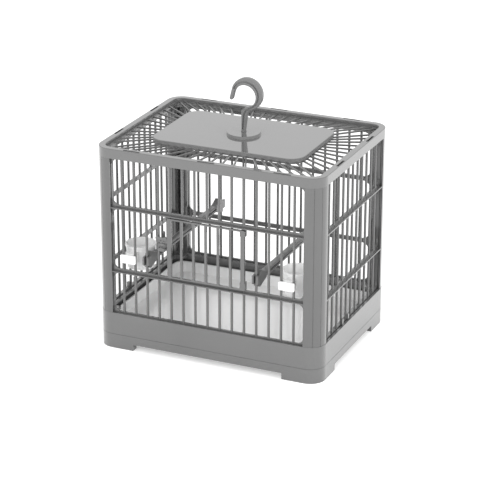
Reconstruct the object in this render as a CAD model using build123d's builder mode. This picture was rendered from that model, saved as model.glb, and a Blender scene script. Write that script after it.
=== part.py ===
from build123d import *
from math import cos, radians, sin
import os

# A knock-down plastic bird cage. X runs across the front, Y from front to back, Z up.
# The origin is the centre of the footprint, on the surface that the cage stands on.

# Overall sizes
top_width = 352.0
top_depth = 268.0
corner_radius = 23.5
cage_height = 309.5
base_flare = 0.3
post_inset = 0.2

# Small values that several pieces share
overlap = 1.0
fit_gap = 0.3
running_clearance = 0.08

# Heights of the base
foot_height = 9.5
pan_height = 22.5
base_height = 56.0

# Base pan and ring
skirt_wall = 2.5
pan_floor = 2.5
foot_width = 11.0
foot_gap_x = 236.0
foot_gap_y = 148.0
pan_rib_height = 5.0
pan_rib_width = 2.0
lap_clearance = 0.4
lip_wall = 1.8
lip_height = 5.0
flange_width = 12.0
flange_thickness = 4.5
seam_relief = 0.5

# Floor tray
tray_height = 17.5
tray_wall = 2.0
tray_floor = 2.0
tray_draft = 4.0
tray_corner = 17.0
tray_clearance = 1.8

# Corner posts
post_wall = 3.2
post_arm_front = 25.6
post_arm_side = 26.0
post_rib = 2.0
post_lip = 4.0
post_lip_reach = 11.3
crease_radius = 0.45
crease_angles = (30.0, 60.0)

# Panels of bars
panel_inset = 6.0
panel_thickness = 4.0
bar_pitch = 19.1
side_pitch = 18.2
bar_radius = 1.9
front_bars = 7
side_bars = 5
stile_reveal = 0.8
stile_tongue = 9.0
tongue_thickness = 2.0
seat_depth = 2.4
web_thickness = 2.6
bottom_rail_top = 58.0
lower_rail = 119.0
upper_rail = 217.9
rail_height = 6.6
rail_lip_thickness = 1.6
rail_lip_rise = 1.3
rail_lip_depth = 3.8
gusset_radius = 11.0
lug_width = 4.5
lug_height = 8.0
lug_depth = 2.2
lug_lift = 1.0
lug_offsets = (-39.0, -17.0)

# Top frame
frame_height = 14.5
frame_wall = 2.8
frame_top = 2.5
rim_width = 10.0
rim_inner_wall = 1.7
rim_drop = 4.0
ledge_width = 3.5
ledge_thickness = 2.5
rim_edge_fillet = 1.0
snap_slot_length = 26.0
snap_slot_width = 3.4
snap_slot_inset = 1.2
snap_slot_depth = 4.0
snap_slots_front = (-116.0, 0.0, 116.0)
snap_slots_side = (-58.0, 58.0)
top_rail_rise = 2.5
top_rail_drop = 1.0
tab_clearance = 0.3
tab_drop = 1.5

# Top grille and centre plate
grille_thickness = 2.2
grille_border = 3.4
slat_width = 2.2
slat_fan = 0.62
slats_front = 8
slats_side = 5
plate_width = 236.0
plate_depth = 149.0
plate_corner = 22.0
plate_thickness = 2.5
plate_skirt = 5.5
plate_rise = 1.5
plate_edge_fillet = 1.0
disc_bottom_radius = 25.6
disc_top_radius = 24.2
disc_height = 3.9

# Hook
hook_thickness = 7.2
hook_outer_radius = 24.3
hook_outer_x = 5.9
hook_inner_radius = 16.9
hook_inner_x = 2.6
hook_inner_drop = 4.0
hook_ring_height = 57.9
hook_stem_height = 24.6
hook_stem_half = 2.5
hook_stem_top_half = 5.8
hook_outer_start = -66.0
hook_inner_start = -35.0
hook_end_angle = 166.0
hook_neck_outer = (2.2, 5.6)
hook_neck_inner = (4.0, 13.2)
hook_neck_lift = 1.5
hook_tip_length = 14.5
hook_tip_step = 4.7
hook_tip_round = 2.4
hook_groove_depth = 1.8
hook_groove_width = 2.5
hook_groove_radius = 20.0
hook_groove_start = -40.0
hook_groove_end = 157.0
hook_groove_foot = 4.0
hook_fillet = 1.1
swivel_radius = 3.6
swivel_play = 0.1
shaft_end = 3.0
collar_radius = 3.9
collar_height = 0.4
washer_radius = 10.0
washer_thickness = 1.2
nut_radius = 7.5
nut_height = 5.0
nut_sides = 6

# Door
door_bar = 3
door_gap = 1.0
door_thickness = 3.0
door_stile = 6.0
door_rail = 2.2
door_play = 0.5
door_bar_width = 3.6
door_corner = 2.0
knuckle_radius = 4.0
knuckle_heights = (11.0, 8.0)
knuckle_mouth = 3.0
knuckle_inset = 1.0
ear_thickness = 1.4
ear_gap = 0.5
ear_margin = 2.0
ear_root = 2.0
latch_bar = 4
latch_offset = 6.6
latch_height = 182.3
latch_shaft = 2.0
latch_wing_reach = 9.0
latch_wing_radius = 3.0
latch_wing_rise = 3.0
latch_hub_radius = 3.6
latch_tongue = 11.0
latch_tongue_width = 4.0
latch_tongue_thickness = 2.0
latch_tongue_round = 1.5
latch_knob_gap = 0.2
latch_dimple_radius = 1.2
latch_dimple_depth = 1.0
catch_lug_width = 9.6
catch_lug_depth = 3.5
catch_lug_shift = 5.6
catch_lug_rounding = 0.45
catch_lug_drops = (7.7, 15.7)
catch_lug_heights = (3.8, 4.8)

# Perches
perch_height = 145.0
perch_width = 9.5
perch_groove = 1.8
perch_left_bar = -5
perch_right_bar = 4
fan_length = 24.0
fan_height = 23.0
fan_shoulder = 8.0
prong_reach = 3.6
prong_height = 13.0
prong_gap = 0.25
prong_round = 1.2
prong_root = 2.0
perch_corner = 2.2
perch_groove_drop = 0.8
perch_groove_height = 2.6
fan_lean = 0.25
fan_nose = 1.5
fan_nose_high = 0.36
fan_nose_low = 0.2

# Cups
cup_top = 155.0
cup_height = 36.0
cup_radius = 22.1
cup_foot_radius = 19.5
cup_wall = 1.8
cup_back = 44.5
cup_bead = 0.9
cup_bead_height = 3.0
cup_tab_width = 24.4
cup_tab_height = 12.5
cup_tab_middle = 143.4
cup_tab_thickness = 3.0
cup_neck_width = 12.0
cup_slide_gap = 0.5
cup_reach = 39.1
cup_tab_corner = 2.0
cup_neck_inset = 0.5

# Values worked out from the ones above
base_width = top_width + 2 * base_flare
base_depth = top_depth
frame_bottom = cage_height - frame_height
ring_floor = base_height - flange_thickness
panel_bottom = base_height - seat_depth
panel_top = cage_height - frame_top - tab_drop
front_plane_y = -(top_depth / 2 - panel_inset)
side_plane_x = top_width / 2 - panel_inset
front_half_open = top_width / 2 - post_inset - post_arm_front
side_half_open = top_depth / 2 - post_inset - post_arm_side
grille_bottom = cage_height - rim_drop - grille_thickness
plate_top = cage_height + plate_rise
plate_bottom = plate_top - plate_skirt
disc_top = plate_top + disc_height
door_back = panel_thickness / 2 + door_gap
door_front = door_back + door_thickness


def outline(width, depth, inset):
    """Width, depth and corner radius of a rounded outline drawn in by an inset."""
    return width - 2 * inset, depth - 2 * inset, corner_radius - inset


def top_outline(inset):
    return outline(top_width, top_depth, inset)


def base_outline(inset):
    return outline(base_width, base_depth, inset)


def save(part, name):
    """Labels a finished piece and writes it to its own file."""
    part.label = name
    export_step(part, f"parts/{name}.step")


def make_base_pan():
    """Shallow pan: skirt, floor plate, locating lip, four corner feet and ribs below."""
    with BuildPart() as base_pan:
        with BuildSketch(Plane.XY.offset(foot_height)):
            RectangleRounded(*base_outline(0))
        extrude(amount=pan_height - foot_height)
        with BuildSketch(Plane.XY.offset(foot_height)):
            RectangleRounded(*base_outline(skirt_wall))
        extrude(amount=pan_height - pan_floor - foot_height, mode=Mode.SUBTRACT)
        with BuildSketch(Plane.XY.offset(pan_height)):
            RectangleRounded(*base_outline(skirt_wall + lap_clearance))
            RectangleRounded(*base_outline(skirt_wall + lap_clearance + lip_wall), mode=Mode.SUBTRACT)
        extrude(amount=lip_height)
        with BuildSketch(Plane.XY.offset(pan_height)):
            RectangleRounded(*base_outline(0))
            RectangleRounded(*base_outline(seam_relief), mode=Mode.SUBTRACT)
        extrude(amount=-seam_relief, mode=Mode.SUBTRACT)
        with BuildSketch(Plane.XY):
            RectangleRounded(*base_outline(0))
            RectangleRounded(*base_outline(foot_width), mode=Mode.SUBTRACT)
            Rectangle(foot_gap_x, base_depth, mode=Mode.SUBTRACT)
            Rectangle(base_width, foot_gap_y, mode=Mode.SUBTRACT)
        extrude(amount=pan_height - pan_floor)
        with BuildSketch(Plane.XY.offset(pan_height - pan_floor - pan_rib_height)):
            with GridLocations(0, foot_gap_y / 2, 1, 3):
                Rectangle(base_width - skirt_wall, pan_rib_width)
            with GridLocations(foot_gap_x / 2, 0, 3, 1):
                Rectangle(pan_rib_width, base_depth - skirt_wall)
        extrude(amount=pan_rib_height)
    return base_pan.part


def make_base_ring():
    """Upper skirt with an inward flange, corner pads under the posts and panel grooves."""
    with BuildPart() as base_ring:
        with BuildSketch(Plane.XY.offset(pan_height)):
            RectangleRounded(*base_outline(0))
            RectangleRounded(*base_outline(skirt_wall), mode=Mode.SUBTRACT)
        extrude(amount=base_height - pan_height)
        with BuildSketch(Plane.XY.offset(ring_floor)):
            RectangleRounded(*base_outline(0))
            RectangleRounded(*base_outline(flange_width), mode=Mode.SUBTRACT)
        extrude(amount=flange_thickness)
        with BuildSketch(Plane.XY.offset(ring_floor)):
            RectangleRounded(*base_outline(0))
            Rectangle(2 * front_half_open, base_depth, mode=Mode.SUBTRACT)
            Rectangle(base_width, 2 * side_half_open, mode=Mode.SUBTRACT)
        extrude(amount=flange_thickness)
        groove_width = panel_thickness + 2 * fit_gap
        with BuildSketch(Plane.XY.offset(panel_bottom)):
            with GridLocations(0, -2 * front_plane_y, 1, 2):
                Rectangle(2 * (front_half_open + stile_tongue + fit_gap), groove_width)
            with GridLocations(2 * side_plane_x, 0, 2, 1):
                Rectangle(groove_width, 2 * (side_half_open + stile_tongue + fit_gap))
        extrude(amount=seat_depth, mode=Mode.SUBTRACT)
    return base_ring.part


def make_floor_tray():
    """White liner tray with drawn-in walls, standing on the pan inside its lip."""
    inset = skirt_wall + lap_clearance + lip_wall + tray_clearance
    width = base_width - 2 * inset
    depth = base_depth - 2 * inset
    with BuildPart() as floor_tray:
        with BuildSketch(Plane.XY.offset(pan_height)):
            RectangleRounded(width - 2 * tray_draft, depth - 2 * tray_draft, tray_corner)
        with BuildSketch(Plane.XY.offset(pan_height + tray_height)):
            RectangleRounded(width, depth, tray_corner)
        loft()
        with BuildSketch(Plane.XY.offset(pan_height + tray_floor)):
            inner = tray_draft + tray_wall
            RectangleRounded(width - 2 * inner, depth - 2 * inner, tray_corner - tray_wall)
        with BuildSketch(Plane.XY.offset(pan_height + tray_height)):
            RectangleRounded(width - 2 * tray_wall, depth - 2 * tray_wall, tray_corner - tray_wall)
        loft(mode=Mode.SUBTRACT)
    return floor_tray.part


def make_post(side_x, side_y):
    """Corner post: a rounded shell, with a rib and lip behind each panel it holds."""
    arm_x = post_arm_front
    arm_y = post_arm_side
    corner_x = top_width / 2 - post_inset
    corner_y = top_depth / 2 - post_inset
    arc_radius = corner_radius - post_inset
    stile_end_x = front_half_open + stile_tongue + fit_gap
    stile_end_y = side_half_open + stile_tongue + fit_gap
    plate_back_y = -front_plane_y - panel_thickness / 2 - fit_gap
    plate_back_x = side_plane_x - panel_thickness / 2 - fit_gap
    shell_y = corner_y - post_wall
    shell_x = corner_x - post_wall
    with BuildPart() as post:
        with BuildSketch(Plane.XY.offset(base_height)):
            RectangleRounded(*top_outline(post_inset))
            RectangleRounded(*top_outline(post_inset + post_wall), mode=Mode.SUBTRACT)
            with Locations((side_x * (corner_x - arm_x / 2), side_y * (corner_y - arm_y / 2))):
                Rectangle(arm_x, arm_y, mode=Mode.INTERSECT)
            rib_y = plate_back_y - post_lip
            with Locations((side_x * (stile_end_x + post_rib / 2), side_y * (shell_y + rib_y) / 2)):
                Rectangle(post_rib, shell_y - rib_y)
            lip_x = stile_end_x + post_rib - post_lip_reach / 2
            with Locations((side_x * lip_x, side_y * (rib_y + post_lip / 2))):
                Rectangle(post_lip_reach, post_lip)
            rib_x = plate_back_x - post_lip
            with Locations((side_x * (shell_x + rib_x) / 2, side_y * (stile_end_y + post_rib / 2))):
                Rectangle(shell_x - rib_x, post_rib)
            lip_y = stile_end_y + post_rib - post_lip_reach / 2
            with Locations((side_x * (rib_x + post_lip / 2), side_y * lip_y)):
                Rectangle(post_lip, post_lip_reach)
            for angle in crease_angles:
                crease_x = corner_x - arc_radius + arc_radius * cos(radians(angle))
                crease_y = corner_y - arc_radius + arc_radius * sin(radians(angle))
                with Locations((side_x * crease_x, side_y * crease_y)):
                    Circle(crease_radius, mode=Mode.SUBTRACT)
        extrude(amount=frame_bottom - base_height)
    return post.part


def panel_plane(across, outward, distance):
    """Plane through the middle of a panel: x across it, y up, normal out of the cage."""
    return Plane(origin=Vector(outward) * distance, x_dir=across, z_dir=outward)


def make_panel(plane, half_open, bars, pitch, tabs, lugs=(), door_bars=0, catch_bar=None):
    """Bar panel: thick stiles, thin rails with a lip, round bars, and snap tabs on top."""
    top_rail_bottom = frame_bottom - top_rail_drop
    top_rail_top = frame_bottom + top_rail_rise
    windows = (
        (bottom_rail_top, lower_rail),
        (lower_rail + rail_height, upper_rail),
        (upper_rail + rail_height, top_rail_bottom),
    )
    with BuildPart() as panel:
        with BuildSketch(plane.offset(-panel_thickness / 2)):
            with Locations((0, (panel_bottom + top_rail_top) / 2)):
                Rectangle(2 * (half_open + stile_tongue), top_rail_top - panel_bottom)
            window_width = 2 * (half_open - stile_reveal)
            for low, high in windows:
                with Locations((0, (low + high) / 2)):
                    RectangleRounded(window_width, high - low, gusset_radius, mode=Mode.SUBTRACT)
        extrude(amount=panel_thickness)
        for side in (-1, 1):
            with BuildSketch(plane.offset(side * web_thickness / 2)):
                with Locations((0, (panel_bottom + top_rail_top) / 2)):
                    Rectangle(window_width, top_rail_top - panel_bottom)
            extrude(amount=side * (panel_thickness - web_thickness) / 2, mode=Mode.SUBTRACT)
        with BuildSketch(plane.offset(tongue_thickness - panel_thickness / 2)):
            with Locations((0, (panel_bottom + top_rail_top) / 2)):
                Rectangle(2 * (half_open + stile_tongue), top_rail_top - panel_bottom)
                Rectangle(2 * (half_open - fit_gap), top_rail_top - panel_bottom, mode=Mode.SUBTRACT)
        extrude(amount=panel_thickness - tongue_thickness, mode=Mode.SUBTRACT)
        for index in range(-bars, bars + 1):
            spans = [(panel_bottom, top_rail_top)]
            if abs(index) < door_bars:
                spans = [(panel_bottom, lower_rail + overlap), (upper_rail + overlap, top_rail_top)]
            for low, high in spans:
                foot = plane.from_local_coords((index * pitch, low, 0))
                with BuildSketch(Plane(origin=foot)):
                    Circle(bar_radius)
                extrude(amount=high - low)
        with BuildSketch(plane):
            for rail in (lower_rail, upper_rail):
                with Locations((0, rail + rail_lip_rise + rail_lip_thickness / 2)):
                    Rectangle(2 * (half_open - fit_gap), rail_lip_thickness)
        extrude(amount=panel_thickness / 2 + rail_lip_depth)
        with BuildSketch(plane):
            for place in tabs:
                with Locations((place, (top_rail_top + panel_top) / 2)):
                    Rectangle(snap_slot_length - 2 * tab_clearance, panel_top - top_rail_top)
        extrude(amount=panel_thickness / 2)
        if lugs:
            with BuildSketch(plane):
                for place in lugs:
                    with Locations((place, base_height + lug_lift + lug_height / 2)):
                        Rectangle(lug_width, lug_height)
            extrude(amount=panel_thickness / 2 + lug_depth)
        if catch_bar is not None:
            with BuildSketch(plane):
                for drop, height in zip(catch_lug_drops, catch_lug_heights):
                    with Locations((catch_bar * pitch + catch_lug_shift, latch_height - drop)):
                        RectangleRounded(catch_lug_width, height, catch_lug_rounding * height)
            extrude(amount=catch_lug_depth)
    return panel.part


def make_door():
    """Bar door in front of the opening, with knuckles round one bar and an ear for the latch."""
    low = lower_rail + rail_height + door_play
    high = upper_rail - door_play
    hinge_x = door_bar * bar_pitch
    half_width = hinge_x + door_stile / 2
    latch_x = -latch_bar * bar_pitch + latch_offset
    ear_back = bar_radius + ear_gap
    ear_left = latch_x - latch_hub_radius - ear_margin
    ear_low = latch_height - latch_hub_radius
    ear_high = latch_height + latch_hub_radius
    middle = (low + high) / 2
    front = panel_plane((1, 0, 0), (0, -1, 0), -front_plane_y)
    with BuildPart() as door:
        with BuildSketch(front.offset(door_back)):
            with Locations((0, middle)):
                RectangleRounded(2 * half_width, high - low, door_corner)
                Rectangle(2 * (half_width - door_stile), high - low - 2 * door_rail, mode=Mode.SUBTRACT)
            for index in range(1 - door_bar, door_bar):
                with Locations((index * bar_pitch, middle)):
                    Rectangle(door_bar_width, high - low - door_rail)
        extrude(amount=door_thickness)
        with BuildSketch(front.offset(ear_back)):
            with Locations(((ear_left - half_width) / 2, (ear_low + ear_high) / 2)):
                Rectangle(-half_width - ear_left + ear_root, ear_high - ear_low)
        extrude(amount=ear_thickness)
        with BuildSketch(front.offset(ear_back)):
            with Locations((-half_width + ear_root / 2, (ear_low + ear_high) / 2)):
                Rectangle(ear_root, ear_high - ear_low)
        extrude(amount=door_back - ear_back + overlap)
        with BuildSketch(front.offset(ear_back)):
            with Locations((latch_x, latch_height)):
                Circle(latch_shaft + running_clearance)
        extrude(amount=ear_thickness, mode=Mode.SUBTRACT)
        knuckle_bottoms = (low + knuckle_inset, high - knuckle_inset - knuckle_heights[1])
        for bottom, height in zip(knuckle_bottoms, knuckle_heights):
            with BuildSketch(Plane.XY.offset(bottom)):
                with Locations((hinge_x, front_plane_y)):
                    Circle(knuckle_radius)
                with Locations((hinge_x, front_plane_y - knuckle_radius)):
                    Rectangle(2 * knuckle_radius, knuckle_radius)
                with Locations((hinge_x, front_plane_y)):
                    Circle(bar_radius + running_clearance, mode=Mode.SUBTRACT)
                with Locations((hinge_x, front_plane_y + knuckle_radius)):
                    Rectangle(knuckle_mouth, 2 * knuckle_radius, mode=Mode.SUBTRACT)
            extrude(amount=height)
    return door.part


def make_latch():
    """Turn button: a two-winged knob in front, a shaft through the ear and a tongue behind."""
    latch_x = -latch_bar * bar_pitch + latch_offset
    front = panel_plane((1, 0, 0), (0, -1, 0), -front_plane_y)
    knob_back = bar_radius + ear_gap + ear_thickness + latch_knob_gap
    knob_front = door_front
    tongue_front = -(bar_radius + ear_gap)
    with BuildPart() as latch:
        with BuildSketch(front.offset(knob_back)):
            with Locations((latch_x, latch_height)):
                Circle(latch_hub_radius)
            reach = latch_wing_reach - latch_wing_radius
            wing_z = latch_height + latch_wing_rise
            with Locations((latch_x, wing_z)):
                Rectangle(2 * reach, latch_wing_radius)
            with Locations((latch_x - reach, wing_z), (latch_x + reach, wing_z)):
                Circle(latch_wing_radius)
        extrude(amount=knob_front - knob_back)
        with BuildSketch(front.offset(tongue_front - latch_tongue_thickness)):
            with Locations((latch_x, latch_height)):
                Circle(latch_shaft)
        extrude(amount=knob_back - tongue_front + latch_tongue_thickness)
        with BuildSketch(front.offset(tongue_front)):
            with Locations((latch_x, latch_height + latch_tongue / 2 - latch_shaft / 2)):
                RectangleRounded(latch_tongue_width, latch_tongue + latch_shaft, latch_tongue_round)
        extrude(amount=-latch_tongue_thickness)
        with BuildSketch(front.offset(knob_front)):
            with Locations((latch_x, latch_height)):
                Circle(latch_dimple_radius)
        extrude(amount=-latch_dimple_depth, mode=Mode.SUBTRACT)
    return latch.part


def make_top_frame():
    """Rim: outer wall, flat top with snap slots, inner wall and a ledge for the grille."""
    slot_front = top_depth / 2 - snap_slot_inset - snap_slot_width / 2
    slot_side = top_width / 2 - snap_slot_inset - snap_slot_width / 2
    with BuildPart() as top_frame:
        with BuildSketch(Plane.XY.offset(frame_bottom)):
            RectangleRounded(*top_outline(0))
            RectangleRounded(*top_outline(rim_width), mode=Mode.SUBTRACT)
        extrude(amount=frame_height)
        with BuildSketch(Plane.XY.offset(frame_bottom)):
            RectangleRounded(*top_outline(frame_wall))
            RectangleRounded(*top_outline(rim_width - rim_inner_wall), mode=Mode.SUBTRACT)
        extrude(amount=frame_height - frame_top, mode=Mode.SUBTRACT)
        with BuildSketch(Plane.XY.offset(grille_bottom)):
            RectangleRounded(*top_outline(rim_width - rim_inner_wall))
            RectangleRounded(*top_outline(rim_width + ledge_width), mode=Mode.SUBTRACT)
        extrude(amount=-ledge_thickness)
        rims = top_frame.edges().filter_by_position(Axis.Z, cage_height, cage_height)
        fillet(rims, radius=rim_edge_fillet)
        with BuildSketch(Plane.XY.offset(cage_height - snap_slot_depth)):
            for side in (-1, 1):
                for place in snap_slots_front:
                    with Locations((place, side * slot_front)):
                        Rectangle(snap_slot_length, snap_slot_width)
                for place in snap_slots_side:
                    with Locations((side * slot_side, place)):
                        Rectangle(snap_slot_width, snap_slot_length)
        extrude(amount=snap_slot_depth, mode=Mode.SUBTRACT)
    return top_frame.part


def slat_ends():
    """Start and end points of the fan of slats, from the rim to the centre plate."""
    rim_x = top_width / 2 - rim_width - grille_border / 2
    rim_y = top_depth / 2 - rim_width - grille_border / 2
    plate_x = plate_width / 2 - grille_border / 2
    plate_y = plate_depth / 2 - grille_border / 2
    ends = []
    for side in (-1, 1):
        for index in range(-slats_front, slats_front + 1):
            place = index * bar_pitch
            ends.append(((place, side * rim_y), (place * slat_fan, side * plate_y)))
        for index in range(-slats_side, slats_side + 1):
            place = index * side_pitch
            ends.append(((side * rim_x, place), (side * plate_x, place * slat_fan)))
        rim_cut = (corner_radius - rim_width) * (1 - cos(radians(45)))
        plate_cut = plate_corner * (1 - cos(radians(45)))
        for turn in (-1, 1):
            start = (side * (rim_x - rim_cut), turn * (rim_y - rim_cut))
            ends.append((start, (side * (plate_x - plate_cut), turn * (plate_y - plate_cut))))
    return ends


def make_top_grille():
    """Flat grille: an outer border on the ledge, an inner border under the plate, and slats."""
    with BuildPart() as top_grille:
        with BuildSketch(Plane.XY.offset(grille_bottom)):
            RectangleRounded(*top_outline(rim_width + fit_gap))
            RectangleRounded(*top_outline(rim_width + grille_border), mode=Mode.SUBTRACT)
        extrude(amount=grille_thickness)
        with BuildSketch(Plane.XY.offset(grille_bottom)):
            RectangleRounded(plate_width, plate_depth, plate_corner)
            inner_width = plate_width - 2 * grille_border
            inner_depth = plate_depth - 2 * grille_border
            RectangleRounded(inner_width, inner_depth, plate_corner - grille_border, mode=Mode.SUBTRACT)
        extrude(amount=grille_thickness)
        for start, end in slat_ends():
            run = Vector(end) - Vector(start)
            middle = (Vector(start) + Vector(end)) / 2 + Vector(0, 0, grille_bottom)
            with BuildSketch(Plane(origin=middle, x_dir=run, z_dir=(0, 0, 1))):
                Rectangle(run.length, slat_width)
            extrude(amount=grille_thickness)
    return top_grille.part


def make_centre_plate():
    """Plate with a short skirt and a raised hollow disc, bored for the hook."""
    with BuildPart() as centre_plate:
        with BuildSketch(Plane.XY.offset(plate_bottom)):
            RectangleRounded(plate_width, plate_depth, plate_corner)
        extrude(amount=plate_skirt)
        top_edges = centre_plate.edges().filter_by_position(Axis.Z, plate_top, plate_top)
        fillet(top_edges, radius=plate_edge_fillet)
        with BuildSketch(Plane.XY.offset(plate_bottom)):
            inset = plate_thickness
            RectangleRounded(plate_width - 2 * inset, plate_depth - 2 * inset, plate_corner - inset)
        extrude(amount=plate_skirt - plate_thickness, mode=Mode.SUBTRACT)
        with BuildSketch(Plane.XY.offset(plate_top - plate_edge_fillet)):
            Circle(disc_bottom_radius)
        with BuildSketch(Plane.XY.offset(disc_top)):
            Circle(disc_top_radius)
        loft()
        with BuildSketch(Plane.XY.offset(plate_top - plate_thickness)):
            Circle(disc_bottom_radius - plate_thickness)
        with BuildSketch(Plane.XY.offset(disc_top - plate_thickness)):
            Circle(disc_top_radius - plate_thickness)
        loft(mode=Mode.SUBTRACT)
        with BuildSketch(Plane.XY.offset(disc_top)):
            Circle(swivel_radius + running_clearance)
        extrude(amount=-2 * plate_thickness, mode=Mode.SUBTRACT)
    return centre_plate.part


def hook_outline():
    """Closed outline of the hook's bow and stem in the XZ plane, as a wire."""
    ring_z = disc_top + hook_ring_height
    outer = Vector(hook_outer_x, ring_z)
    inner = Vector(hook_inner_x, ring_z - hook_inner_drop)

    def around(centre, radius, angle):
        return centre + Vector(cos(radians(angle)), sin(radians(angle))) * radius

    outer_start = around(outer, hook_outer_radius, hook_outer_start)
    outer_end = around(outer, hook_outer_radius, hook_end_angle)
    inner_start = around(inner, hook_inner_radius, hook_inner_start)
    inner_end = around(inner, hook_inner_radius, hook_end_angle)
    down = Vector(-sin(radians(hook_end_angle)), cos(radians(hook_end_angle)))
    tip_outer = outer_end + down * hook_tip_length
    tip_inner = inner_end + down * (hook_tip_length - hook_tip_step)
    tip_middle = (tip_outer + tip_inner) / 2 + down * hook_tip_round
    base_z = disc_top + collar_height
    stem_z = disc_top + hook_stem_height
    neck_z = stem_z + hook_neck_lift
    lean = (hook_stem_top_half - hook_stem_half) / hook_stem_height
    with BuildLine() as line:
        Line((hook_stem_half, base_z), (hook_stem_top_half, stem_z))
        Spline(
            (hook_stem_top_half, stem_z),
            (hook_stem_top_half + hook_neck_outer[0], stem_z + hook_neck_outer[1]),
            (outer_start.X, outer_start.Y),
            tangents=((lean, 1.0), (-sin(radians(hook_outer_start)), cos(radians(hook_outer_start)))),
        )
        CenterArc(outer, hook_outer_radius, hook_outer_start, hook_end_angle - hook_outer_start)
        Line(outer_end, tip_outer)
        ThreePointArc(tip_outer, tip_middle, tip_inner)
        Line(tip_inner, inner_end)
        CenterArc(inner, hook_inner_radius, hook_end_angle, hook_inner_start - hook_end_angle)
        Spline(
            (inner_start.X, inner_start.Y),
            (hook_neck_inner[0], stem_z + hook_neck_inner[1]),
            (-hook_stem_half, neck_z),
            tangents=((sin(radians(hook_inner_start)), -cos(radians(hook_inner_start))), (0.0, -1.0)),
        )
        Line((-hook_stem_half, neck_z), (-hook_stem_half, base_z))
        Line((-hook_stem_half, base_z), (hook_stem_half, base_z))
    return line


def hook_groove():
    """Path of the groove: up the stem, round the bend and over the bow."""
    middle = Vector(
        (hook_outer_x + hook_inner_x) / 2,
        disc_top + hook_ring_height - hook_inner_drop / 2,
    )
    start_angle = radians(hook_groove_start)
    start = middle + Vector(cos(start_angle), sin(start_angle)) * hook_groove_radius
    stem_end = ((hook_stem_top_half - hook_stem_half) / 2, disc_top + hook_stem_height)
    with BuildLine() as line:
        Line((0, disc_top + collar_height + hook_groove_foot), stem_end)
        Spline(stem_end, (start.X, start.Y), tangents=((0.1, 1.0), (-sin(start_angle), cos(start_angle))))
        CenterArc(middle, hook_groove_radius, hook_groove_start, hook_groove_end - hook_groove_start)
    return line


def make_hook():
    """Moulded hook: grooved bow and stem, a collar on the disc and a swivel shaft below."""
    line = hook_outline()
    groove = hook_groove()
    with BuildPart() as hook:
        with BuildSketch(Plane.XZ):
            add(line.line)
            make_face()
        extrude(amount=hook_thickness / 2, both=True)
        for side in (1, -1):
            with BuildSketch(Plane.XZ.offset(side * hook_thickness / 2)):
                add(groove.line)
                trace(line_width=hook_groove_width)
            extrude(amount=-side * hook_groove_depth, mode=Mode.SUBTRACT)
        faces = hook.faces().filter_by(Axis.Y)
        outer_faces = faces.group_by(Axis.Y)[0] + faces.group_by(Axis.Y)[-1]
        fillet([edge for face in outer_faces for edge in face.outer_wire().edges()], radius=hook_fillet)
        with BuildSketch(Plane.XY.offset(disc_top + swivel_play)):
            Circle(collar_radius)
        extrude(amount=collar_height + overlap)
        with BuildSketch(Plane.XY.offset(disc_top + swivel_play)):
            Circle(swivel_radius)
        extrude(amount=-(plate_thickness + washer_thickness + nut_height + shaft_end))
    return hook.part


def make_ring(radius, bore, bottom, height, sides=0):
    """A washer, or a nut when it has flat sides."""
    with BuildPart() as ring:
        with BuildSketch(Plane.XY.offset(bottom)):
            if sides:
                RegularPolygon(radius, sides)
            else:
                Circle(radius)
            Circle(bore, mode=Mode.SUBTRACT)
        extrude(amount=height)
    return ring.part


def make_perch(bar_index):
    """Perch: a grooved beam with a fan-shaped, forked end at the front and the back bar."""
    centre_x = bar_index * bar_pitch
    bar_face = -front_plane_y - bar_radius - 2 * prong_gap
    beam_end = bar_face - fan_length
    half = perch_width / 2
    side = Plane(origin=(centre_x - half, 0, perch_height), x_dir=(0, 1, 0), z_dir=(1, 0, 0))
    with BuildPart() as perch:
        beam_start = (centre_x, -beam_end - overlap, perch_height)
        with BuildSketch(Plane(origin=beam_start, x_dir=(1, 0, 0), z_dir=(0, 1, 0))):
            RectangleRounded(perch_width, perch_width, perch_corner)
            with Locations((half, -perch_groove_drop), (-half, -perch_groove_drop)):
                Rectangle(2 * perch_groove, perch_groove_height, mode=Mode.SUBTRACT)
        extrude(amount=2 * (beam_end + overlap))
        for end in (-1, 1):
            with BuildSketch(side):
                with BuildLine():
                    crown = end * (bar_face - fan_shoulder)
                    Line((end * beam_end, -half), (end * beam_end, half))
                    top = TangentArc((end * beam_end, half), (crown, fan_height / 2), tangent=(end, fan_lean))
                    nose = ThreePointArc(
                        top @ 1,
                        (end * (bar_face - fan_nose), fan_height * fan_nose_high),
                        (end * bar_face, fan_height * fan_nose_low),
                    )
                    Line(nose @ 1, (end * bar_face, -fan_height / 2))
                    Line((end * bar_face, -fan_height / 2), (end * beam_end, -half))
                make_face()
            extrude(amount=perch_width)
            outer = -front_plane_y + bar_radius + prong_reach
            prong_width = half - bar_radius - prong_gap
            with BuildSketch(side):
                with Locations((end * (bar_face - prong_root + outer) / 2, 0)):
                    RectangleRounded(outer - bar_face + prong_root, prong_height, prong_round)
            extrude(amount=prong_width)
            with BuildSketch(side.offset(perch_width)):
                with Locations((end * (bar_face - prong_root + outer) / 2, 0)):
                    RectangleRounded(outer - bar_face + prong_root, prong_height, prong_round)
            extrude(amount=-prong_width)
    return perch.part


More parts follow.
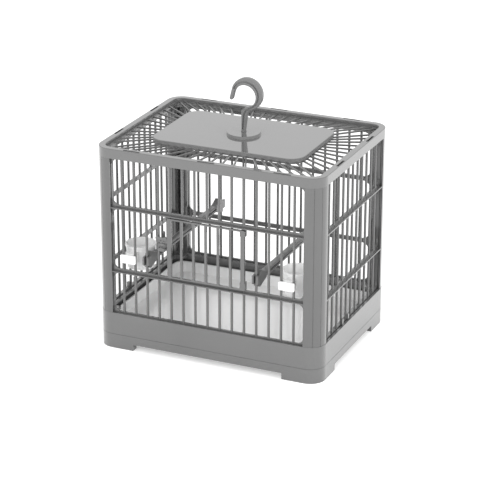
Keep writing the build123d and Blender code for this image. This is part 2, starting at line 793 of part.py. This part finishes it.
def make_cup(side):
    """Round cup with a beaded rim, an arm through two front bars and a tab in front of them."""
    centre_x = side * (front_bars - 0.5) * bar_pitch
    centre_y = front_plane_y - bar_radius + cup_reach
    bottom = cup_top - cup_height
    tab_back = bar_radius + cup_slide_gap
    front = panel_plane((1, 0, 0), (0, -1, 0), -front_plane_y)
    with BuildPart() as cup:
        with BuildSketch(Plane.XY.offset(bottom)):
            with Locations((centre_x, centre_y)):
                Circle(cup_foot_radius)
        with BuildSketch(Plane.XY.offset(cup_top)):
            with Locations((centre_x, centre_y)):
                Circle(cup_radius)
        loft()
        with BuildSketch(Plane.XY.offset(cup_top - cup_bead_height)):
            with Locations((centre_x, centre_y)):
                Circle(cup_radius + cup_bead)
        extrude(amount=cup_bead_height)
        with BuildSketch(front.offset(tab_back)):
            with Locations((centre_x, cup_tab_middle)):
                RectangleRounded(cup_tab_width, cup_tab_height, cup_tab_corner)
        extrude(amount=cup_tab_thickness)
        with BuildSketch(front.offset(-tab_back)):
            with Locations((centre_x, cup_tab_middle)):
                RectangleRounded(cup_tab_width, cup_tab_height, cup_tab_corner)
        extrude(amount=-cup_tab_thickness)
        with BuildSketch(front.offset(tab_back)):
            with Locations((centre_x, cup_tab_middle)):
                Rectangle(cup_neck_width, cup_tab_height - 2 * cup_neck_inset)
        extrude(amount=-(tab_back + cup_back - cup_radius - overlap))
        with BuildSketch(Plane.XY.offset(bottom + cup_wall)):
            with Locations((centre_x, centre_y)):
                Circle(cup_foot_radius - cup_wall)
        with BuildSketch(Plane.XY.offset(cup_top)):
            with Locations((centre_x, centre_y)):
                Circle(cup_radius - cup_wall)
        loft(mode=Mode.SUBTRACT)
    return cup.part


def main():
    os.makedirs("parts", exist_ok=True)
    save(make_base_pan(), "base_pan")
    save(make_base_ring(), "base_ring")
    save(make_floor_tray(), "floor_tray")
    for name_y, side_y in (("front", -1), ("back", 1)):
        for name_x, side_x in (("left", -1), ("right", 1)):
            save(make_post(side_x, side_y), f"post_{name_y}_{name_x}")
    front = panel_plane((1, 0, 0), (0, -1, 0), -front_plane_y)
    back = panel_plane((-1, 0, 0), (0, 1, 0), -front_plane_y)
    right = panel_plane((0, 1, 0), (1, 0, 0), side_plane_x)
    left = panel_plane((0, -1, 0), (-1, 0, 0), side_plane_x)
    wide = (front_half_open, front_bars, bar_pitch, snap_slots_front)
    save(make_panel(front, *wide, (), door_bar, -latch_bar), "front_panel")
    save(make_panel(back, *wide), "back_panel")
    narrow = (side_half_open, side_bars, side_pitch, snap_slots_side)
    save(make_panel(left, *narrow, [-place for place in lug_offsets]), "left_panel")
    save(make_panel(right, *narrow, lug_offsets), "right_panel")
    save(make_door(), "door")
    save(make_latch(), "door_latch")
    save(make_top_frame(), "top_frame")
    save(make_top_grille(), "top_grille")
    save(make_centre_plate(), "centre_plate")
    save(make_hook(), "hook")
    washer_bottom = disc_top - plate_thickness - washer_thickness - swivel_play
    nut_bottom = washer_bottom - nut_height
    bore = swivel_radius + running_clearance
    save(make_ring(washer_radius, bore, washer_bottom, washer_thickness), "hook_washer")
    save(make_ring(nut_radius, bore, nut_bottom, nut_height, nut_sides), "hook_nut")
    save(make_perch(perch_left_bar), "perch_left")
    save(make_perch(perch_right_bar), "perch_right")
    save(make_cup(-1), "food_cup")
    save(make_cup(1), "water_cup")


main()
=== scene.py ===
from math import radians

import bpy
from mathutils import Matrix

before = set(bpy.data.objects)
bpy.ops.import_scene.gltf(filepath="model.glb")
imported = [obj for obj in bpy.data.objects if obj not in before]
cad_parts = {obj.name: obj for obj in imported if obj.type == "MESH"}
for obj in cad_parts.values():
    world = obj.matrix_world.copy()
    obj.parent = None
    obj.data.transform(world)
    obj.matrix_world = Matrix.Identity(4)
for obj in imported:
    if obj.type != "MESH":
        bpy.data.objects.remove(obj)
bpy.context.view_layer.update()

MM = 0.001

# The camera stands at the photograph's place: front right of the cage and above it
camera_azimuth = 24.05
camera_elevation = 21.56
camera_distance = 3086.62 * MM
camera_target = (-6.01 * MM, 0.0, 145.09 * MM)
camera_reach = 50.0
photo_pixels = 480
focal_pixels = 2089.02
sensor_width = 36.0

# White studio
floor_size = 12.0
floor_tone = 0.85
floor_glow = 0.4
sky_level = 1.0

# How often a pattern repeats in a metre
cloud_scale = 14.0
flow_scale = 9.0
flow_stretch = (1.0, 1.0, 0.25)
speck_scale = 900.0
grain_scale = 1600.0
ripple_scale = 60.0
white_cloud_scale = 22.0
white_ripple_scale = 70.0
streak_scale = 400.0
streak_stretch = (1.0, 1.0, 8.0)

# How far the rounding of edges reaches into the faces beside them
edge_band_width = 0.5 * MM
softened_width = 0.35 * MM
white_softened_width = 0.4 * MM
edge_contrast = 6.0
bevel_samples = 4


# Materials: a value that varies over a surface is written as a Python expression

class Field:
    """One output socket of a finish. Its operators add the Math nodes they stand for."""

    def __init__(self, finish, socket):
        self.finish = finish
        self.socket = socket

    def math(self, operation, *values):
        inputs = dict(enumerate(values))
        return self.finish.node("ShaderNodeMath", {"operation": operation}, inputs)

    def __add__(self, other):
        return self.math("ADD", self, other)

    def __radd__(self, other):
        return self.math("ADD", other, self)

    def __sub__(self, other):
        return self.math("SUBTRACT", self, other)

    def __rsub__(self, other):
        return self.math("SUBTRACT", other, self)

    def __mul__(self, other):
        return self.math("MULTIPLY", self, other)

    def __rmul__(self, other):
        return self.math("MULTIPLY", other, self)

    def __abs__(self):
        return self.math("ABSOLUTE", self)

    def clamp(self):
        limited = self.math("MAXIMUM", self, 0.0)
        return limited.math("MINIMUM", limited, 1.0)


class Finish:
    """A material and the nodes that make it."""

    def __init__(self, name, coat=0.0, coat_roughness=0.0):
        self.material = bpy.data.materials.new(name)
        self.material.use_nodes = True
        self.tree = self.material.node_tree
        self.shader = self.tree.nodes["Principled BSDF"]
        self.set("Coat Weight", coat)
        self.set("Coat Roughness", coat_roughness)
        self.place = self.node("ShaderNodeTexCoord", output="Object")

    def node(self, kind, settings=None, inputs=None, output=0):
        made = self.tree.nodes.new(kind)
        for name, value in (settings or {}).items():
            setattr(made, name, value)
        for name, value in (inputs or {}).items():
            self.feed(made.inputs[name], value)
        return Field(self, made.outputs[output])

    def feed(self, socket, value):
        if isinstance(value, Field):
            self.tree.links.new(value.socket, socket)
        else:
            socket.default_value = value

    def set(self, name, value):
        self.feed(self.shader.inputs[name], value)

    def noise(self, scale, detail=2.0, roughness=0.5, vector=None):
        inputs = {"Vector": vector or self.place, "Scale": scale, "Detail": detail, "Roughness": roughness}
        return self.node("ShaderNodeTexNoise", {}, inputs, "Fac")

    def stretched(self, factors):
        inputs = {"Vector": self.place, "Scale": factors}
        return self.node("ShaderNodeMapping", {}, inputs)

    def shade(self, factor, low=0.0, high=1.0):
        """The grey that lies this far from the low to the high one."""
        inputs = {"Factor": factor, 6: grey(low), 7: grey(high)}
        return self.node("ShaderNodeMix", {"data_type": "RGBA"}, inputs, 2)

    def softened(self, width):
        """The surface's direction, rounded over its edges."""
        return self.node("ShaderNodeBevel", {"samples": bevel_samples}, {"Radius": width})

    def edges(self, width):
        """0 on flat surfaces and up to 1 along edges."""
        true_normal = self.node("ShaderNodeNewGeometry", output="Normal")
        inputs = {0: self.softened(width), 1: true_normal}
        likeness = self.node("ShaderNodeVectorMath", {"operation": "DOT_PRODUCT"}, inputs, "Value")
        return ((1.0 - likeness) * edge_contrast).clamp()

    def upright(self):
        """1 on upright faces and 0 on level ones."""
        facing = self.node("ShaderNodeTexCoord", output="Normal")
        level = self.node("ShaderNodeSeparateXYZ", {}, {"Vector": facing}, "Z")
        return 1.0 - abs(level)

    def bump(self, height, distance, width=0.0):
        inputs = {"Height": height, "Distance": distance, "Strength": 1.0}
        if width:
            inputs["Normal"] = self.softened(width)
        return self.node("ShaderNodeBump", {}, inputs)


def grey(level):
    return (level, level, level, 1.0)


def moulded_plastic(name, tone, roughness=0.2, texture=0.01 * MM, coat=1.0, satin_sides=0.0, painted_side_sheen=0.0):
    """Grey moulded plastic: faint clouding, flow marks, edges made lighter for wear and as a painted
    highlight, and fine grain.

    With satin_sides the upright faces are rougher, paler by painted_side_sheen (a painted sheen), and have
    no clear coat.
    """
    spread = 0.02
    speck_spread = 0.008
    edge_highlight_and_wear = 0.1
    finish = Finish(name, coat, coat_roughness=0.06)
    cloud = finish.noise(cloud_scale, detail=3.0)
    flow = finish.noise(flow_scale, detail=4.0, roughness=0.6, vector=finish.stretched(flow_stretch))
    specks = finish.noise(speck_scale, detail=1.0)
    edge_band = finish.edges(edge_band_width)
    level = (cloud - 0.5) * spread + (flow - 0.5) * spread + (specks - 0.5) * speck_spread + tone
    # painted highlight: the edges are made lighter, standing for light caught on rounded edges as well as
    # for wear
    level = level + edge_band * (tone * edge_highlight_and_wear)
    polish = (cloud - 0.5) * 0.08 + edge_band * 0.05 + roughness
    if satin_sides:
        upright = finish.upright()
        # painted sheen: upright faces are made paler to stand for the paler look of satin sides under the
        # light
        level = level + upright * painted_side_sheen
        polish = polish + upright * satin_sides
        finish.set("Coat Weight", (1.0 - upright) * coat)
    finish.set("Base Color", finish.shade(level.clamp()))
    finish.set("Roughness", polish)
    grain = finish.noise(grain_scale)
    ripple = finish.noise(ripple_scale, detail=1.0)
    finish.set("Normal", finish.bump(grain + ripple * 2.0, texture, softened_width))
    return finish.material


def white_plastic(name, tone, roughness=0.22):
    """White glossy plastic with faint clouding, waviness and rubbed edges."""
    stain = 0.04
    edge_wear = 0.03
    waviness = 0.06 * MM
    finish = Finish(name, coat=0.6, coat_roughness=0.08)
    cloud = finish.noise(white_cloud_scale, detail=3.0)
    edge_band = finish.edges(edge_band_width)
    level = tone - cloud * stain - edge_band * edge_wear
    finish.set("Base Color", finish.shade(level.clamp()))
    finish.set("Roughness", (cloud - 0.5) * 0.12 + roughness)
    ripple = finish.noise(white_ripple_scale, detail=1.0)
    finish.set("Normal", finish.bump(ripple, waviness, white_softened_width))
    return finish.material


def plated_steel(name):
    """Zinc-plated steel with a turned, slightly streaked surface."""
    finish = Finish(name)
    streak = finish.noise(streak_scale, roughness=0.6, vector=finish.stretched(streak_stretch))
    finish.set("Metallic", 1.0)
    finish.set("Base Color", finish.shade(streak, low=0.42, high=0.62))
    finish.set("Roughness", streak * 0.2 + 0.25)
    finish.set("Normal", finish.bump(streak, 0.01 * MM))
    return finish.material


finishes = {
    "frame": moulded_plastic("frame_plastic", tone=0.125),
    "post": moulded_plastic("post_plastic", tone=0.10),
    "base": moulded_plastic("base_plastic", tone=0.125),
    "bars": moulded_plastic("bar_plastic", tone=0.10),
    "grille": moulded_plastic("grille_plastic", tone=0.09, roughness=0.3, coat=0.3),
    "plate": moulded_plastic("plate_plastic", tone=0.14, roughness=0.1, satin_sides=0.35, painted_side_sheen=0.035),
    "hook": moulded_plastic("hook_plastic", tone=0.18, roughness=0.32, coat=0.15),
    "door": moulded_plastic("door_plastic", tone=0.105),
    "perch": moulded_plastic("perch_plastic", tone=0.12, roughness=0.3, texture=0.03 * MM, coat=0.5),
    "nut": moulded_plastic("nut_plastic", tone=0.15),
    "tray": white_plastic("tray_plastic", tone=0.95),
    "cup": white_plastic("cup_plastic", tone=0.98, roughness=0.2),
    "washer": plated_steel("washer_steel"),
}

finish_nodes = {
    "frame": ["top_frame"],
    "post": ["post_front_left", "post_front_right", "post_back_left", "post_back_right"],
    "base": ["base_pan", "base_ring"],
    "bars": ["front_panel", "back_panel", "left_panel", "right_panel"],
    "grille": ["top_grille"],
    "plate": ["centre_plate"],
    "hook": ["hook"],
    "door": ["door", "door_latch"],
    "perch": ["perch_left", "perch_right"],
    "nut": ["hook_nut"],
    "tray": ["floor_tray"],
    "cup": ["food_cup", "water_cup"],
    "washer": ["hook_washer"],
}

for finish_name, node_names in finish_nodes.items():
    for node_name in node_names:
        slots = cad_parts[node_name].data.materials
        slots.clear()
        slots.append(finishes[finish_name])


# Floor, light and camera

def make_floor():
    """White sweep under the cage. It keeps a faint shadow and shows white to the camera."""
    bpy.ops.object.select_all(action="DESELECT")
    bpy.ops.mesh.primitive_plane_add(size=floor_size, location=(0, 0, 0))
    floor = bpy.context.active_object
    floor.name = "studio_floor"
    finish = Finish("studio_white")
    finish.tree.nodes.remove(finish.shader)
    seen = finish.node("ShaderNodeLightPath", output="Is Camera Ray")
    mirrored = finish.node("ShaderNodeLightPath", output="Is Glossy Ray")
    through = finish.node("ShaderNodeLightPath", output="Is Transmission Ray")
    cloth = finish.node("ShaderNodeBsdfDiffuse", {}, {"Color": grey(floor_tone)})
    glow = finish.node("ShaderNodeEmission", {}, {"Strength": floor_glow})
    lit_cloth = finish.node("ShaderNodeAddShader", {}, {0: cloth, 1: glow})
    choice = (seen + mirrored + through).clamp()
    surface = finish.node("ShaderNodeMixShader", {}, {0: choice, 1: cloth, 2: lit_cloth})
    finish.feed(finish.tree.nodes["Material Output"].inputs["Surface"], surface)
    floor.data.materials.append(finish.material)


def make_sky():
    """Even white surround, which is the background and lights the cage from all sides."""
    world = bpy.data.worlds.new("studio_surround")
    bpy.context.scene.world = world
    world.use_nodes = True
    background = world.node_tree.nodes["Background"]
    background.inputs["Color"].default_value = grey(1.0)
    background.inputs["Strength"].default_value = sky_level


def add_softbox(name, place, turn_degrees, size, watts):
    """Square lamp. Glossy faces don't mirror it, so the plate keeps its grey from every side."""
    turn = [radians(angle) for angle in turn_degrees]
    bpy.ops.object.select_all(action="DESELECT")
    bpy.ops.object.light_add(type="AREA", location=place, rotation=turn)
    lamp = bpy.context.active_object
    lamp.name = name
    lamp.data.shape = "SQUARE"
    lamp.data.size = size
    lamp.data.energy = watts
    lamp.visible_glossy = False


def make_camera():
    tilt = radians(90.0 - camera_elevation)
    turn = radians(camera_azimuth)
    bpy.ops.object.select_all(action="DESELECT")
    bpy.ops.object.camera_add(rotation=(tilt, 0, turn))
    camera = bpy.context.active_object
    camera.name = "photo_camera"
    camera.data.sensor_width = sensor_width
    camera.data.lens = focal_pixels / photo_pixels * sensor_width
    camera.data.clip_end = camera_reach
    bpy.context.view_layer.update()
    back = camera.matrix_world.to_3x3().col[2]
    camera.location = [target + away * camera_distance for target, away in zip(camera_target, back)]
    bpy.context.scene.camera = camera


make_floor()
make_sky()
add_softbox("key_softbox", place=(2.2, -0.2, 1.3), turn_degrees=(0, 63, -5), size=1.4, watts=20.0)
add_softbox("fill_softbox", place=(-0.4, -2.1, 1.1), turn_degrees=(64, 0, -10), size=1.6, watts=20.0)
make_camera()
bpy.context.scene.view_settings.view_transform = "Standard"
